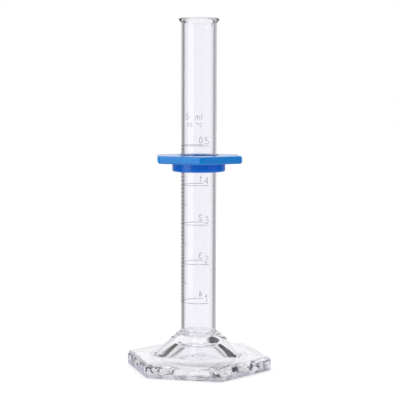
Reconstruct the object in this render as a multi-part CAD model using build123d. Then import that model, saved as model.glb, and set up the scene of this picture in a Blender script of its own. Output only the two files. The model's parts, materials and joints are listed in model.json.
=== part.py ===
from build123d import *

import os
from math import atan2, cos, degrees, pi, radians, sin, tan

# A graduated cylinder of clear laboratory glass that holds five millilitres.
# A straight tube with a flared lip and a pouring spout is sunk into a pressed hexagonal glass foot
# with a deep conical hollow below. A loose hexagonal guard of moulded plastic rides on the tube, so
# that a knocked-over cylinder lands on the guard and not on its lip. The scale is fired on in enamel.
#
# Millimetres. The origin is the centre of the foot's underside, +Z runs up the tube, and two of
# the foot's corners lie on +X and -X. Angles are in degrees, counter-clockwise seen from above.

# ---- Tube ----
OVERALL_HEIGHT = 115.0      # underside of the foot to the top of the lip
TUBE_BORE_D = 9.94
TUBE_WALL = 0.905
BORE_FLOOR_Z = 8.77         # the tube's floor inside
FLOOR_ROUND_R = 2.5         # rounding between the bore and its floor
LIP_BEND_R = 1.75           # the outside of the lip is turned over this radius
LIP_ANGLE = 50.0            # and ends this far off the vertical

# ---- Pouring spout ----
SPOUT_ANGLE = 58.0          # where it points
SPOUT_CHANNEL_R = 1.5
SPOUT_WALL = 0.7
SPOUT_LEAN = 38.0           # lean of the channel off the vertical
SPOUT_REACH = 0.55          # how far the channel opens past the lip
SPOUT_DROP = 0.3            # top of the spout below the top of the lip
SPOUT_LENGTH = 3.6          # how far down the channel is pressed

# ---- Foot ----
FOOT_ACROSS_FLATS = 42.6
FOOT_THICKNESS = 4.65
FOOT_CORNER_R = 1.7
FOOT_EDGE_R = 1.4           # fire-polished upper edge
FOOT_LOWER_EDGE_R = 0.7
DOME_RISE = 7.15            # from the plate's top to the neck
DOME_SLOPE = 42.8           # off the horizontal
DOME_TOE_R = 3.0            # hollow curve where the dome runs into the plate
NECK_LAND = 1.2             # ring of the dome's top left round the tube
NECK_ROUND_R = 0.3
WELD_R = 0.9                # hollow corner of fused glass between the neck and the tube
HOLLOW_R = 14.4             # conical hollow under the foot, where its side meets the floor
HOLLOW_TOP_R = 7.2          # where its side meets its flat top
HOLLOW_DEPTH = 7.2
HOLLOW_ROUND_R = 2.5
HOLLOW_FLARE_R = 5.0        # rounding between the hollow and the ring that the foot stands on

# ---- Guard ----
GUARD_REST_Z = 65.1         # underside of the collar at rest
GUARD_TURN = -13.5          # angle of one corner
GUARD_ACROSS_FLATS = 27.3
GUARD_PLATE_T = 2.55
GUARD_CORNER_R = 1.2
GUARD_EDGE_R = 0.5
COLLAR_D = 17.5
COLLAR_HEIGHT = 2.85
RIB_COUNT = 6
RIB_WIDTH = 1.2
RIB_DEPTH = 0.45
RIB_ROOT = 0.5              # how far a rib is sunk into the moulding
RIB_CLEARANCE = 0.08        # rib tip to enamel, on the radius
GUARD_END_GAP = 0.3         # air left at each end of its travel

# ---- Enamel scale ----
ENAMEL_T = 0.04
SCALE_ANGLE = 202.5         # middle of the column of marks
SCALE_FIRST_TENTH = 10      # the scale starts at 1.0 ml
SCALE_LAST_TENTH = 50       # and ends at 5.0 ml
TENTH_ML = 100.0            # cubic millimetres
LINE_WIDTH = 0.25
TENTH_LINE_LENGTH = 5.3     # round the tube
HALF_LINE_LENGTH = 8.2
ML_LINE_LENGTH = 23.8
NUMERAL_OFFSET = 10.95      # round the tube, from the middle of the scale to a numeral's middle
NUMERAL_LIFT = 0.45         # numeral above its line
NUMERAL_HEIGHT = 2.45
FAR_NUMERAL_HEIGHT = 2.15
NUMERAL_STROKE = 0.3

# ---- Capacity mark ----
CAPACITY_ANGLE = 268.0
CAPACITY_LIFT = 6.2         # above the highest line
CAPACITY_HEIGHT = 2.0
CAPACITY_STROKE = 0.26
TEMPERATURE_HEIGHT = 1.3
TEMPERATURE_STROKE = 0.2
CAPACITY_ROW_GAP = 1.0

# ---- Worked out from the values above ----
LOW = (Align.CENTER, Align.CENTER, Align.MIN)
BORE_R = TUBE_BORE_D / 2
TUBE_R = BORE_R + TUBE_WALL
ENAMEL_R = TUBE_R + ENAMEL_T
BORE_LOW_Z = BORE_FLOOR_Z + FLOOR_ROUND_R
TUBE_LOW_Z = BORE_FLOOR_Z - TUBE_WALL
LIP_MID_R = LIP_BEND_R + TUBE_WALL / 2
LIP_HEIGHT = LIP_MID_R * sin(radians(LIP_ANGLE)) + TUBE_WALL / 2
LIP_START_Z = OVERALL_HEIGHT - LIP_HEIGHT
LIP_R = TUBE_R + LIP_MID_R * (1 - cos(radians(LIP_ANGLE)))
NECK_Z = FOOT_THICKNESS + DOME_RISE
NECK_R = TUBE_R + NECK_LAND
DOME_FOOT_R = NECK_R + DOME_RISE / tan(radians(DOME_SLOPE))
RIB_TIP_R = ENAMEL_R + RIB_CLEARANCE
GUARD_BORE_R = RIB_TIP_R + RIB_DEPTH
GUARD_HEIGHT = COLLAR_HEIGHT + GUARD_PLATE_T
SPOUT_TOP_Z = OVERALL_HEIGHT - SPOUT_DROP
SPOUT_OUTER_R = SPOUT_CHANNEL_R + SPOUT_WALL
SPOUT_AXIS_R = LIP_R + SPOUT_REACH - SPOUT_CHANNEL_R / cos(radians(SPOUT_LEAN))


def scale_z(tenths):
    """Height of the level that a number of tenths of a millilitre reaches in the bore."""
    area = pi * BORE_R ** 2
    corner_area = (1 - pi / 4) * FLOOR_ROUND_R ** 2
    corner_middle_r = BORE_R - FLOOR_ROUND_R * (10 - 3 * pi) / (12 - 3 * pi)
    corner_volume = corner_area * 2 * pi * corner_middle_r
    return BORE_FLOOR_Z + (tenths * TENTH_ML + corner_volume) / area


# ---- Tube ----
def lip_point(radius, angle):
    """Point of the turned-over lip, at a distance from the bend's centre, in the XZ plane."""
    turn = radians(angle)
    return (TUBE_R + LIP_BEND_R - radius * cos(turn), LIP_START_Z + radius * sin(turn))


def tube_wall():
    """The tube before its spout: floor, straight wall and flared lip, as one revolve."""
    outer_r = LIP_BEND_R
    inner_r = LIP_BEND_R + TUBE_WALL
    tip = lip_point(LIP_MID_R, LIP_ANGLE)
    round_x = tip[0] + TUBE_WALL / 2 * sin(radians(LIP_ANGLE))
    round_z = tip[1] + TUBE_WALL / 2 * cos(radians(LIP_ANGLE))
    turn = 1 - 1 / 2 ** 0.5
    corner_r = FLOOR_ROUND_R + TUBE_WALL
    with BuildSketch(Plane.XZ) as profile:
        with BuildLine():
            Line((0, TUBE_LOW_Z), (TUBE_R - corner_r, TUBE_LOW_Z))
            ThreePointArc((TUBE_R - corner_r, TUBE_LOW_Z),
                          (TUBE_R - turn * corner_r, TUBE_LOW_Z + turn * corner_r),
                          (TUBE_R, BORE_LOW_Z))
            Line((TUBE_R, BORE_LOW_Z), (TUBE_R, LIP_START_Z))
            ThreePointArc((TUBE_R, LIP_START_Z), lip_point(outer_r, LIP_ANGLE / 2),
                          lip_point(outer_r, LIP_ANGLE))
            ThreePointArc(lip_point(outer_r, LIP_ANGLE), (round_x, round_z),
                          lip_point(inner_r, LIP_ANGLE))
            ThreePointArc(lip_point(inner_r, LIP_ANGLE), lip_point(inner_r, LIP_ANGLE / 2),
                          (BORE_R, LIP_START_Z))
            Line((BORE_R, LIP_START_Z), (BORE_R, BORE_LOW_Z))
            ThreePointArc((BORE_R, BORE_LOW_Z),
                          (BORE_R - turn * FLOOR_ROUND_R, BORE_FLOOR_Z + turn * FLOOR_ROUND_R),
                          (BORE_R - FLOOR_ROUND_R, BORE_FLOOR_Z))
            Line((BORE_R - FLOOR_ROUND_R, BORE_FLOOR_Z), (0, BORE_FLOOR_Z))
            Line((0, BORE_FLOOR_Z), (0, TUBE_LOW_Z))
        make_face()
    return revolve(profile.sketch, Axis.Z)


def spout_rod(radius):
    """A leaning rod along the spout's channel, cut level with the spout's top."""
    lean = radians(SPOUT_LEAN)
    along = Vector(sin(lean), 0, cos(lean))
    top = Vector(SPOUT_AXIS_R, 0, SPOUT_TOP_Z)
    past_cut = 2 * radius * tan(lean)
    start = Plane(origin=top - along * SPOUT_LENGTH, z_dir=along)
    rod = extrude(start * Circle(radius), SPOUT_LENGTH + past_cut)
    side = 4 * LIP_R
    above = Pos(0, 0, SPOUT_TOP_Z) * Box(side, side, side, align=LOW)
    return rod - above


def graduated_tube():
    """Tube with its spout: the channel is pressed out through the lip."""
    inside = Cylinder(BORE_R + TUBE_WALL / 2, OVERALL_HEIGHT, align=LOW)
    outside = spout_rod(SPOUT_OUTER_R) - inside
    bore = Pos(0, 0, BORE_LOW_Z) * Cylinder(BORE_R, OVERALL_HEIGHT, align=LOW)
    channel = spout_rod(SPOUT_CHANNEL_R)
    opening = extrude(channel.faces().sort_by(Axis.Z)[-1], 2 * SPOUT_DROP)
    tube = tube_wall() + Rot(0, 0, SPOUT_ANGLE) * outside
    return tube - bore - Rot(0, 0, SPOUT_ANGLE) * (channel + opening)


# ---- Foot ----
def rounded_hexagon(across_flats, height, corner_r):
    """Upright hexagonal slab on z = 0 with its corners on +X and -X and its corner edges rounded."""
    slab = extrude(RegularPolygon(across_flats / 2, 6, major_radius=False), height)
    return fillet(slab.edges().filter_by(Axis.Z), corner_r)


def rounded_profile(points, corners):
    """A flat outline whose corners near the given points are rounded, each with its own radius."""
    profile = make_face(Polyline(*points, close=True))
    for place, radius in corners:
        corner = profile.vertices().sort_by_distance(place)[0]
        profile = fillet(corner, radius)
    return profile


def dome():
    """Conical dome with its neck, and the fused corner up the tube."""
    toe_end_r = DOME_FOOT_R + DOME_TOE_R
    middle = FOOT_THICKNESS / 2
    toe = (DOME_FOOT_R, FOOT_THICKNESS)
    neck = (NECK_R, NECK_Z)
    profile = rounded_profile([(0, middle), (toe_end_r, middle), (toe_end_r, FOOT_THICKNESS), toe,
                               neck, (0, NECK_Z)], [(toe, DOME_TOE_R), (neck, NECK_ROUND_R)])
    corner = Pos(TUBE_R, NECK_Z) * Rectangle(WELD_R, WELD_R, align=(Align.MIN, Align.MIN))
    weld = corner - Pos(TUBE_R + WELD_R, NECK_Z + WELD_R) * Circle(WELD_R)
    return revolve(Plane.XZ * profile, Axis.Z) + revolve(Plane.XZ * weld, Axis.Z)


def foot_hollow():
    """The space below the foot: a cone with a flat top that opens in a flare to the floor."""
    wide = HOLLOW_R + 2 * HOLLOW_FLARE_R
    side = (HOLLOW_R, 0)
    top = (HOLLOW_TOP_R, HOLLOW_DEPTH)
    profile = rounded_profile([(0, -HOLLOW_DEPTH), (wide, -HOLLOW_DEPTH), (wide, 0), side, top,
                               (0, HOLLOW_DEPTH)], [(side, HOLLOW_FLARE_R), (top, HOLLOW_ROUND_R)])
    return revolve(Plane.XZ * profile, Axis.Z)


def hexagonal_foot():
    """Pressed foot: hexagonal plate, conical dome, a socket for the tube, a hollow below."""
    slab = rounded_hexagon(FOOT_ACROSS_FLATS, FOOT_THICKNESS, FOOT_CORNER_R)
    plate = fillet(slab.faces().sort_by(Axis.Z)[-1].edges(), FOOT_EDGE_R)
    plate = fillet(plate.faces().sort_by(Axis.Z)[0].edges(), FOOT_LOWER_EDGE_R)
    corner_r = FLOOR_ROUND_R + TUBE_WALL
    socket = Pos(0, 0, TUBE_LOW_Z) * Cylinder(TUBE_R, OVERALL_HEIGHT, align=LOW)
    socket = fillet(socket.edges().group_by(Axis.Z)[0], corner_r)
    return plate + dome() - socket - foot_hollow()


# ---- Guard ----
def bumper_guard():
    """Hexagonal guard on a round collar, with gripping ribs down its bore."""
    slab = rounded_hexagon(GUARD_ACROSS_FLATS, GUARD_PLATE_T, GUARD_CORNER_R)
    rims = slab.faces().filter_by(Axis.Z).edges()
    plate = Pos(0, 0, COLLAR_HEIGHT) * fillet(rims, GUARD_EDGE_R)
    collar = Cylinder(COLLAR_D / 2, COLLAR_HEIGHT + GUARD_PLATE_T / 2, align=LOW)
    collar = fillet(collar.edges().group_by(Axis.Z)[0], GUARD_EDGE_R)
    hole = Cylinder(GUARD_BORE_R, GUARD_HEIGHT, align=LOW)
    sleeve = Cylinder(GUARD_BORE_R + RIB_ROOT, GUARD_HEIGHT - 2 * GUARD_EDGE_R, align=LOW)
    sleeve = Pos(0, 0, GUARD_EDGE_R) * (sleeve - Cylinder(RIB_TIP_R, GUARD_HEIGHT, align=LOW))
    ribs = []
    for index in range(RIB_COUNT):
        rib = Pos(GUARD_BORE_R, 0, 0) * Box(2 * COLLAR_HEIGHT, RIB_WIDTH, GUARD_HEIGHT, align=LOW)
        turned = Rot(0, 0, (index + 0.5) * 360 / RIB_COUNT) * rib
        ribs.append(turned & sleeve)
    guard = plate + collar - hole + ribs
    return Pos(0, 0, GUARD_REST_Z) * Rot(0, 0, GUARD_TURN) * guard


# ---- Enamel scale ----
def enamel_line(z, length):
    """One mark round the tube, centred on the scale."""
    span = length / TUBE_R * 180 / pi
    section = Plane.XZ * Pos(TUBE_R + ENAMEL_T / 2, z) * Rectangle(ENAMEL_T, LINE_WIDTH)
    return Rot(0, 0, SCALE_ANGLE - span / 2) * revolve(section, Axis.Z, span)


def line_group(tenths, length):
    """Marks of one length, at the given tenths of a millilitre."""
    return Compound(children=[enamel_line(scale_z(tenth), length) for tenth in tenths])


# ---- Numerals, as strokes with round ends in a box of a given height ----
def bar(start, end, stroke):
    """Straight stroke."""
    run = Vector(*end) - Vector(*start)
    middle = (Vector(*start) + Vector(*end)) / 2
    return Pos(*middle) * SlotCenterToCenter(run.length, stroke, rotation=degrees(atan2(run.Y, run.X)))


def bow(centre, radius, start_angle, arc_size, stroke):
    """Curved stroke."""
    return SlotArc(CenterArc(centre, radius, start_angle, arc_size), stroke)


def glyph(sign, height, stroke):
    """Strokes of one sign; x runs to the reader's right and the sign stands on y = 0."""
    h = height - stroke
    w = 0.52 * h
    r = w / 2
    if sign == "0":
        strokes = [bow((r, h - r), r, 0, 180, stroke), bow((r, r), r, 180, 180, stroke),
                   bar((0, r), (0, h - r), stroke), bar((w, r), (w, h - r), stroke)]
    elif sign == "1":
        strokes = [bar((0.6 * w, 0), (0.6 * w, h), stroke),
                   bar((0.1 * w, 0.76 * h), (0.6 * w, h), stroke)]
    elif sign == "2":
        foot = (r + r * cos(radians(-20)), h - r + r * sin(radians(-20)))
        strokes = [bow((r, h - r), r, -30, 200, stroke), bar((0.04 * w, 0.04 * h), foot, stroke),
                   bar((0, 0), (w, 0), stroke)]
    elif sign == "3":
        upper, lower = 0.235 * h, 0.265 * h
        strokes = [bow((lower, h - upper), upper, -90, 235, stroke),
                   bow((lower, lower), lower, -150, 240, stroke)]
    elif sign == "4":
        strokes = [bar((0.7 * w, 0), (0.7 * w, h), stroke),
                   bar((0.7 * w, h), (-0.1 * w, 0.3 * h), stroke),
                   bar((-0.1 * w, 0.3 * h), (1.05 * w, 0.3 * h), stroke)]
    elif sign == "5":
        bowl = 0.31 * h
        joint = (0.42 * w + bowl * cos(radians(135)), bowl + bowl * sin(radians(135)))
        strokes = [bar((0.1 * w, h), (0.95 * w, h), stroke), bar((0.1 * w, h), joint, stroke),
                   bow((0.42 * w, bowl), bowl, -145, 280, stroke)]
    elif sign == "m":
        arch = 0.21 * h
        strokes = [bar((0, 0), (0, 0.62 * h), stroke)]
        for step in (1, 3):
            strokes.append(bow((step * arch, 0.62 * h - arch), arch, 0, 180, stroke))
            strokes.append(bar(((step + 1) * arch, 0), ((step + 1) * arch, 0.62 * h - arch), stroke))
    elif sign == "l":
        strokes = [bar((r, 0), (r, h), stroke)]
    elif sign == "o":
        small = 0.15 * h
        strokes = [bow((r, h - small), small, 0, 180, stroke),
                   bow((r, h - small), small, 180, 180, stroke)]
    else:
        strokes = [bow((1.05 * r, h - 1.05 * r), 1.05 * r, 45, 135, stroke),
                   bow((1.05 * r, 1.05 * r), 1.05 * r, 180, 135, stroke),
                   bar((0, 1.05 * r), (0, h - 1.05 * r), stroke)]
    return Pos(-r, stroke / 2) * (Sketch() + strokes)


def fired_on(sketch, angle, z):
    """A flat sign wrapped on the tube as enamel; its foot is at z and its middle at the angle."""
    turn = radians(angle)
    outward = Vector(cos(turn), sin(turn), 0)
    sheet = Plane(origin=outward * (TUBE_R / 2) + Vector(0, 0, z),
                  x_dir=(-sin(turn), cos(turn), 0), z_dir=outward)
    box = sketch.bounding_box()
    skin = Cylinder(ENAMEL_R, box.max.Y + ENAMEL_T, align=LOW)
    skin = Pos(0, 0, z) * (skin - Cylinder(TUBE_R, box.max.Y + ENAMEL_T, align=LOW))
    return extrude(sheet * sketch, TUBE_R) & skin


def numerals(values, side, height):
    """One numeral above each whole millilitre, on one side of the scale."""
    angle = SCALE_ANGLE + side * NUMERAL_OFFSET / TUBE_R * 180 / pi
    solids = []
    for millilitre, value in values:
        z = scale_z(10 * millilitre) + NUMERAL_LIFT
        solids += fired_on(glyph(value, height, NUMERAL_STROKE), angle, z).solids()
    return Compound(children=solids)


def written_row(signs, z, height, stroke):
    """A row of signs round the tube, centred on the capacity mark's angle."""
    pitch = 0.82 * height / TUBE_R * 180 / pi
    solids = []
    for index, sign in enumerate(signs):
        if sign == " ":
            continue
        angle = CAPACITY_ANGLE + (index - (len(signs) - 1) / 2) * pitch
        solids += fired_on(glyph(sign, height, stroke), angle, z).solids()
    return solids


def capacity_mark():
    """The capacity in millilitres over the reference temperature."""
    z = scale_z(SCALE_LAST_TENTH) + CAPACITY_LIFT
    upper = z + TEMPERATURE_HEIGHT + CAPACITY_ROW_GAP
    capacity = written_row("5 ml", upper, CAPACITY_HEIGHT, CAPACITY_STROKE)
    return Compound(children=capacity + written_row("20 oC", z, TEMPERATURE_HEIGHT, TEMPERATURE_STROKE))


# ---- Build and write ----
ALL_TENTHS = range(SCALE_FIRST_TENTH, SCALE_LAST_TENTH + 1)
RISING = [(millilitre, str(millilitre)) for millilitre in range(1, 6)]
FALLING = [(millilitre, str(5 - millilitre)) for millilitre in range(1, 6)]

PARTS = {
    "graduated_tube": graduated_tube(),
    "hexagonal_foot": hexagonal_foot(),
    "bumper_guard": bumper_guard(),
    "ml_lines": line_group([t for t in ALL_TENTHS if t % 10 == 0], ML_LINE_LENGTH),
    "half_ml_lines": line_group([t for t in ALL_TENTHS if t % 10 == 5], HALF_LINE_LENGTH),
    "tenth_ml_lines": line_group([t for t in ALL_TENTHS if t % 5], TENTH_LINE_LENGTH),
    "rising_numerals": numerals(RISING, 1, NUMERAL_HEIGHT),
    "falling_numerals": numerals(FALLING, -1, FAR_NUMERAL_HEIGHT),
    "capacity_mark": capacity_mark(),
}

os.makedirs("parts", exist_ok=True)
for node, shape in PARTS.items():
    export_step(shape, f"parts/{node}.step")

GUARD_LOW = NECK_Z + GUARD_END_GAP - GUARD_REST_Z
SPOUT_UNDERSIDE_Z = SPOUT_TOP_Z - (SPOUT_AXIS_R + SPOUT_OUTER_R / cos(radians(SPOUT_LEAN))
                                   - RIB_TIP_R) / tan(radians(SPOUT_LEAN))
GUARD_HIGH = min(LIP_START_Z, SPOUT_UNDERSIDE_Z) - GUARD_END_GAP - GUARD_REST_Z - GUARD_HEIGHT
print(f"guard travel {GUARD_LOW:.2f} to {GUARD_HIGH:.2f} mm")
print(f"bore radius {BORE_R:.3f}, straight from {BORE_LOW_Z:.2f} to {LIP_START_Z:.2f}")
print(f"one millilitre reaches {scale_z(10):.3f}, five reach {scale_z(50):.3f}")
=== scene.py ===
import json
from math import asin, atan2, cos, pi, radians, sin, tan

import bpy
import numpy as np
from bpy.props import FloatProperty, FloatVectorProperty, PointerProperty
from mathutils import Matrix, Vector, noise


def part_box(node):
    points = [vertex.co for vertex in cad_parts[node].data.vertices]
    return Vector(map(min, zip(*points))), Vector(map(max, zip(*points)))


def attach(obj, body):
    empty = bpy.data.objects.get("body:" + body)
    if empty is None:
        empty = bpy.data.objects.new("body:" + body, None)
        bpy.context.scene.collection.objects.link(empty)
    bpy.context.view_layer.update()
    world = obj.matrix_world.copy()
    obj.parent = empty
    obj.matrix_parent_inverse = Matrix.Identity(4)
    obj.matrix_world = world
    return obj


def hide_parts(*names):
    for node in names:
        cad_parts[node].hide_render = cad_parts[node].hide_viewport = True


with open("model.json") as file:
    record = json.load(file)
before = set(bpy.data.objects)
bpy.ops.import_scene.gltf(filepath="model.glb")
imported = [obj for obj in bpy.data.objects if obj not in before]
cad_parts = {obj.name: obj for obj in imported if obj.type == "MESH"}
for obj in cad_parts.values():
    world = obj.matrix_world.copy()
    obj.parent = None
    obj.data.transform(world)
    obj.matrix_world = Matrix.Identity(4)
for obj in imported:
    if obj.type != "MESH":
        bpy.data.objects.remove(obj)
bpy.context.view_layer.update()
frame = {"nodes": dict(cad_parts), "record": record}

bl_info = {
    "name": "Graduated cylinder",
    "version": (1, 0, 0),
    "blender": (4, 5, 0),
    "location": "3D Viewport > Sidebar > Cylinder",
    "description": "Glass, guard, enamel scale and stage of a small graduated cylinder",
    "category": "Add Mesh",
}

MM = 0.001

# ---- What the frame says ----
RECORD = frame["record"]
MOUNTS = {mount["name"]: mount for mount in RECORD["mounts"]}
BORE_R = MOUNTS["tube_bore"]["dims"]["r_mm"] * MM
TUBE_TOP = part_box("graduated_tube")[1].z
FOOT_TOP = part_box("hexagonal_foot")[1].z
GUARD_LOW, GUARD_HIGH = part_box("bumper_guard")
SCALE_LOW, SCALE_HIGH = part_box("ml_lines")

# ---- Unevenness of the foot ----
# A fixed seed: without one, mathutils takes its noise from the clock.
NOISE_SEED = 1
SWELL_SPAN = 5 * MM
DENT_SPAN = 2.2 * MM
SIDES_FROM = 20 * MM
# The pressed sides have a deeper relief and more painted shade, as dark specks and a greyer lower
# edge, on the left; both fade out between these places on X.
ROUGH_SHADED_LEFT = (-12 * MM, 4 * MM)

# ---- Cloudy patterns: noise scale per metre, and the noise levels between which they fade in ----
SIDE_RELIEF = (480.0, 0.0, 1.0)
# The specks, blots and patches below are painted shade on the plate's sides.
SHADE_SPECKS = (720.0, 0.52, 0.57)
SHADE_BLOTS = (292.0, 0.635, 0.675)
SHADE_PATCHES = (330.0, 0.42, 0.56)
PLASTIC_CLOUD = (260.0, 0.35, 0.65)
PLASTIC_SCUFFS = (1400.0, 0.5, 0.75)
PLASTIC_GRAIN = (2200.0, 0.3, 0.7)
ENAMEL_THIN = (2600.0, 0.5, 0.72)
ENAMEL_GRAIN = (3800.0, 0.2, 0.8)

# ---- Light round the object. Turns and elevations are in degrees from the photograph's line
# of sight, left below zero; a light of 1 is the white ground ----
# Dark upright panels beside the backdrop, as bands one above the other: the elevations between
# which each gives way to the next, and each one's inner edge, outer edge and light.
LEFT_PANEL = (((6, 10), (16, 19), (29, 33)),
              (27, 12, 12, 12), (76, 33, 52, 52), (0.3, 0.1, 0.05, 1.0))
RIGHT_PANEL = (((4, 7), (15, 18), (33, 37)),
               (26, 42, 12, 12), (76, 76, 53, 53), (0.4, 0.2, 0.05, 1.0))
PANEL_SOFT = 4
# Soft box and card on the camera's side: from, to, softness and light.
SOFT_BOX = (-146, -109, 4, 2.0)
SIDE_CARD = (92, 138, 8, 0.4)
CAMERA_SIDE_LIGHT = 0.03
BACKDROP_EDGE = (50, 80)
# The ceiling, as seen through glass: where it dims, and to what, ahead and elsewhere.
CEILING_DIMS = (18, 32)
CEILING_LIGHT, CEILING_LIGHT_AHEAD = 0.5, 0.8
CEILING_LAMPS, CEILING_LAMPS_LIGHT = (42, 58), 0.4
AHEAD, AHEAD_SOFT = 45, 8
ROOM_LIGHT = 0.85
# The floor: its glow as the camera sees it, and its light in reflections close to the object.
FLOOR_GLOW = 0.4
FLOOR_SHINE = 0.8
# Its light under the foot as seen through glass: the depths that it changes between, and to what.
FLOOR_SHADE = (-14 * MM, -7 * MM, 0.62, 0.9)
# Light crosses the foot's many faces, so it needs this many bounces.
BOUNCES = 48
# The key lamp: place, size and power.
KEY_LAMP = ((-0.45, -0.55, 0.6), 0.5, 1.5)


def length(name, millimetres, description):
    """A length property, given in millimetres and kept in metres."""
    return FloatProperty(name=name, default=millimetres * MM, description=description,
                         subtype="DISTANCE", unit="LENGTH", precision=5)


def angle(name, degrees, description):
    """An angle property, given in degrees and kept in radians."""
    return FloatProperty(name=name, default=radians(degrees), description=description,
                         subtype="ANGLE", unit="ROTATION")


def colour(name, rgb, description):
    """A linear colour property."""
    return FloatVectorProperty(name=name, default=rgb, description=description, size=3,
                               subtype="COLOR", min=0.0, max=1.0)


class GlassSizes(bpy.types.PropertyGroup):
    """Sizes of the tube, its lip and spout, and the pressed foot"""
    tube_wall: length("Tube wall", 0.905, "Thickness of the tube's wall")
    bore_floor: length("Bore floor", 8.77, "Height of the tube's floor inside")
    floor_round: length("Floor rounding", 2.5, "Rounding between the bore and its floor")
    lip_bend: length("Lip bend", 1.0, "Radius that the outside of the lip is turned over")
    lip_angle: angle("Lip lean", 38.0, "How far the lip leans off the vertical")
    lip_run: length("Lip run", 0.78, "Straight stretch of the lip past its bend")
    spout_angle: angle("Spout direction", 58.0, "Where the spout points, counter-clockwise from +X")
    spout_reach: length("Spout reach", 1.3, "How far the spout stands out past the lip")
    spout_drop: length("Spout drop", 0.3, "How far the spout's edge lies below the lip")
    spout_width: length("Spout width", 1.3, "Half width of the spout's channel")
    spout_depth: length("Spout depth", 3.4, "Height over which the spout grows out of the wall")
    foot_thickness: length("Foot thickness", 4.65, "Thickness of the foot's plate")
    foot_corner: length("Foot corner radius", 1.7, "Rounding of the foot's six corners")
    foot_flats: length("Foot across flats", 42.6, "Width of the hexagonal plate")
    foot_edge: length("Foot edge radius", 1.4, "Rounding of the plate's upper edge")
    foot_lower: length("Foot lower edge radius", 0.7, "Rounding of the plate's lower edge")
    dome_slope: angle("Dome slope", 42.8, "Slope of the dome off the horizontal")
    dome_toe: length("Dome toe radius", 3.0, "Hollow curve from the dome into the plate")
    neck_height: length("Neck height", 11.8, "Height of the dome's top")
    neck_land: length("Neck land", 1.2, "Width of the dome's top round the tube")
    neck_round: length("Neck rounding", 0.3, "Rounding of the dome's upper edge")
    weld: length("Weld radius", 0.9, "Hollow fused corner between the tube and the dome")
    hollow_radius: length("Hollow radius", 15.2, "Radius of the foot's hollow, at the floor")
    hollow_depth: length("Hollow depth", 6.8, "Depth of the hollow under the dome")
    hollow_top: length("Hollow top radius", 5.4, "Radius of the hollow's flat top")
    hollow_round: length("Hollow rounding", 3.0, "Rounding of the hollow's upper corner")
    hollow_flare: length("Hollow flare", 5.0, "Rounding between the hollow and the underside")
    ripple: length("Pressing ripple", 0.03, "Unevenness of the pressed glass of the foot")
    dent: length("Dents", 0.13, "Depth of the uneven places in the plate's sides")
    pressed: FloatProperty(name="Pressed roughness", default=0.04, min=0.0, max=1.0,
                           description="Roughness of the pressed sides of the plate")
    mottle: length("Pressed relief", 0.22, "Height of the mottled skin on the plate's sides")
    streak: length("Drawn relief", 0.003, "Height of the drawn streaks on the tube")
    tint: colour("Glass colour", (0.955, 0.95, 0.985), "Faint tint of the clear glass")
    # Painted shade: the grey painted on the tube's wall where it is seen edge on.
    edge_shade_tint: colour("Edge colour", (0.4, 0.385, 0.45), "Tint of the tube's wall seen edge on")
    # Painted shade: the grey painted on the plate's pressed sides where they are seen at a slant,
    # in patches and along the lower edge.
    side_shade_tint: colour("Side colour", (0.33, 0.33, 0.5), "Tint of the plate's pressed sides")
    # Painted shade: the near-black painted in specks and blots on the plate's sides and on the
    # lip's edges.
    shade_speck_tint: colour("Speck colour", (0.02, 0.02, 0.035), "Tint of specks in the plate's sides")
    ior: FloatProperty(name="Refractive index", default=1.474, min=1.0, max=2.5,
                       description="Refractive index of the glass")


class GuardSizes(bpy.types.PropertyGroup):
    """Sizes and colour of the sliding guard"""
    across_flats: length("Across flats", 27.3, "Width of the hexagonal plate")
    turn: angle("Turn", -13.5, "Direction of one corner, counter-clockwise from +X")
    plate: length("Plate thickness", 2.55, "Thickness of the hexagonal plate")
    corner: length("Corner radius", 1.7, "Rounding of the six corners")
    edge: length("Edge radius", 0.6, "Rounding of the moulding's edges")
    collar: length("Collar diameter", 17.5, "Outside diameter of the round collar")
    bore: length("Bore radius", 6.445, "Radius of the bore between the ribs")
    rib_depth: length("Rib depth", 0.45, "How far the gripping ribs stand into the bore")
    rib_width: length("Rib width", 1.2, "Width of each gripping rib")
    tint: colour("Plastic colour", (0.002, 0.215, 0.655), "Colour of the moulded plate")
    # Partly painted shade: the darker blue given to the collar under the plate.
    deep_shaded_tint: colour("Deep plastic colour", (0.0, 0.16, 0.78), "Colour of the thicker collar")
    roughness: FloatProperty(name="Roughness", default=0.16, min=0.0, max=1.0,
                             description="Roughness of the clean plastic")
    grain: length("Grain", 0.002, "Height of the moulded grain")


class ScaleSizes(bpy.types.PropertyGroup):
    """Sizes of the enamel marks"""
    middle: angle("Scale direction", 202.5, "Middle of the column of marks")
    line: length("Line width", 0.25, "Width of an enamel line")
    thickness: length("Enamel thickness", 0.04, "How far the enamel stands out of the glass")
    tenth: length("0.1 ml line", 5.3, "Length of the shortest marks, round the tube")
    half: length("0.5 ml line", 8.2, "Length of the middle marks, round the tube")
    whole: length("1 ml line", 23.8, "Length of the longest marks, round the tube")
    tint: colour("Enamel colour", (0.4, 0.4, 0.43), "Colour of the fired enamel")
    cover: FloatProperty(name="Cover", default=0.36, min=0.0, max=1.0,
                         description="How much of the light the full enamel stops")
    thin_tint: colour("Thin enamel colour", (0.6, 0.6, 0.64), "Colour of thin enamel")


class StudioSettings(bpy.types.PropertyGroup):
    """Camera, floor and light"""
    distance: length("Camera distance", 406.2, "Distance of the camera from the tube's axis")
    height: length("Camera height", 88.64, "Height of the camera above the floor")
    azimuth: angle("Camera azimuth", 13.0, "Turn of the camera round the object")
    pitch: angle("Camera pitch", 4.638, "How far the camera looks down")
    yaw: angle("Camera yaw", 0.063, "How far the camera looks to the right")
    roll: angle("Camera roll", 0.15, "Roll of the camera")
    lens: FloatProperty(name="Lens", default=111.39, description="Focal length on a 36 mm sensor",
                        subtype="DISTANCE_CAMERA")
    floor_tint: colour("Floor", (0.8, 0.8, 0.8), "Colour of the floor")


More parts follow.
